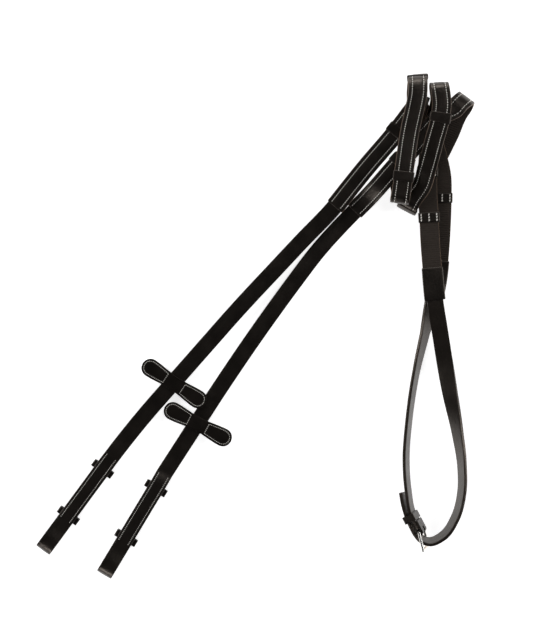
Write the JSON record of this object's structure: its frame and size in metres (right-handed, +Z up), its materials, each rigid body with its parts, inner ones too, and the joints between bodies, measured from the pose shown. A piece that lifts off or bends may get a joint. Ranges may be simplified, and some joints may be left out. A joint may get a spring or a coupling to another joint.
{
  "type": "leather reins",
  "caption": "Pair of leather reins with rubber-lined grips and hand stops, hook-stud billets, sliding martingale stops and a joining buckle, laid flat with the grips coiled.",
  "frame": {"origin": "on the floor under the middle of the whole", "axes": "+Z up, +X towards the coiled grips and the buckle side, +Y towards the top of the coil; the billets point to -X and -Y"},
  "size_m": [0.4808, 0.5535, 0.0374],
  "materials": {
    "strap_leather": "semi-gloss",
    "keeper_leather": "semi-gloss",
    "stop_leather": "semi-gloss",
    "grip_leather": "semi-gloss",
    "grip_rubber": "matte",
    "hand_stop_leather": "semi-gloss",
    "cover_leather": "semi-gloss",
    "stud_metal": "satin",
    "buckle_metal": "polished"
  },
  "bodies": {
    "reins": {"left_arm_strap": "strap_leather", "left_billet_backing": "strap_leather", "left_hook_stud": "stud_metal", "left_lower_keeper": "keeper_leather", "left_upper_keeper": "keeper_leather", "left_grip_leather": "grip_leather", "left_grip_rubber": "grip_rubber", "left_hand_stop_1": "hand_stop_leather", "left_hand_stop_2": "hand_stop_leather", "left_hand_stop_3": "hand_stop_leather", "left_hand_stop_4": "hand_stop_leather", "left_hand_stop_5": "hand_stop_leather", "left_hand_stop_6": "hand_stop_leather", "left_grip_cover": "cover_leather", "left_centre_strap": "strap_leather", "right_arm_strap": "strap_leather", "right_billet_backing": "strap_leather", "right_hook_stud": "stud_metal", "right_lower_keeper": "keeper_leather", "right_upper_keeper": "keeper_leather", "right_grip_leather": "grip_leather", "right_grip_rubber": "grip_rubber", "right_hand_stop_1": "hand_stop_leather", "right_hand_stop_2": "hand_stop_leather", "right_hand_stop_3": "hand_stop_leather", "right_hand_stop_4": "hand_stop_leather", "right_hand_stop_5": "hand_stop_leather", "right_hand_stop_6": "hand_stop_leather", "right_grip_cover": "cover_leather", "right_centre_strap": "strap_leather", "buckle_chape": "keeper_leather", "buckle_keeper": "keeper_leather"},
    "left_stop": {"left_stop_front": "stop_leather", "left_stop_back": "stop_leather"},
    "right_stop": {"right_stop_front": "stop_leather", "right_stop_back": "stop_leather"},
    "buckle_frame": {"buckle_frame": "buckle_metal"},
    "buckle_tongue": {"buckle_tongue": "buckle_metal"}
  },
  "joints": [
    {"name": "left_stop_slide", "type": "slide", "parent": "reins", "child": "left_stop", "axis": [0.6613, 0.7501, 0], "range_m": [0, 0.055]},
    {"name": "right_stop_slide", "type": "slide", "parent": "reins", "child": "right_stop", "axis": [0.5426, 0.8388, -0.0454], "range_m": [-0.045, 0]},
    {"name": "buckle_frame_hinge", "type": "hinge", "parent": "reins", "child": "buckle_frame", "pos_m": [0.18179, -0.22221, 0.014], "axis": [0.2875, 0.1528, -0.9455], "range_deg": [-1, 6]},
    {"name": "buckle_tongue_hinge", "type": "hinge", "parent": "buckle_frame", "child": "buckle_tongue", "pos_m": [0.18179, -0.22221, 0.014], "axis": [0.2875, 0.1528, -0.9455], "range_deg": [0, 8]}
  ]
}
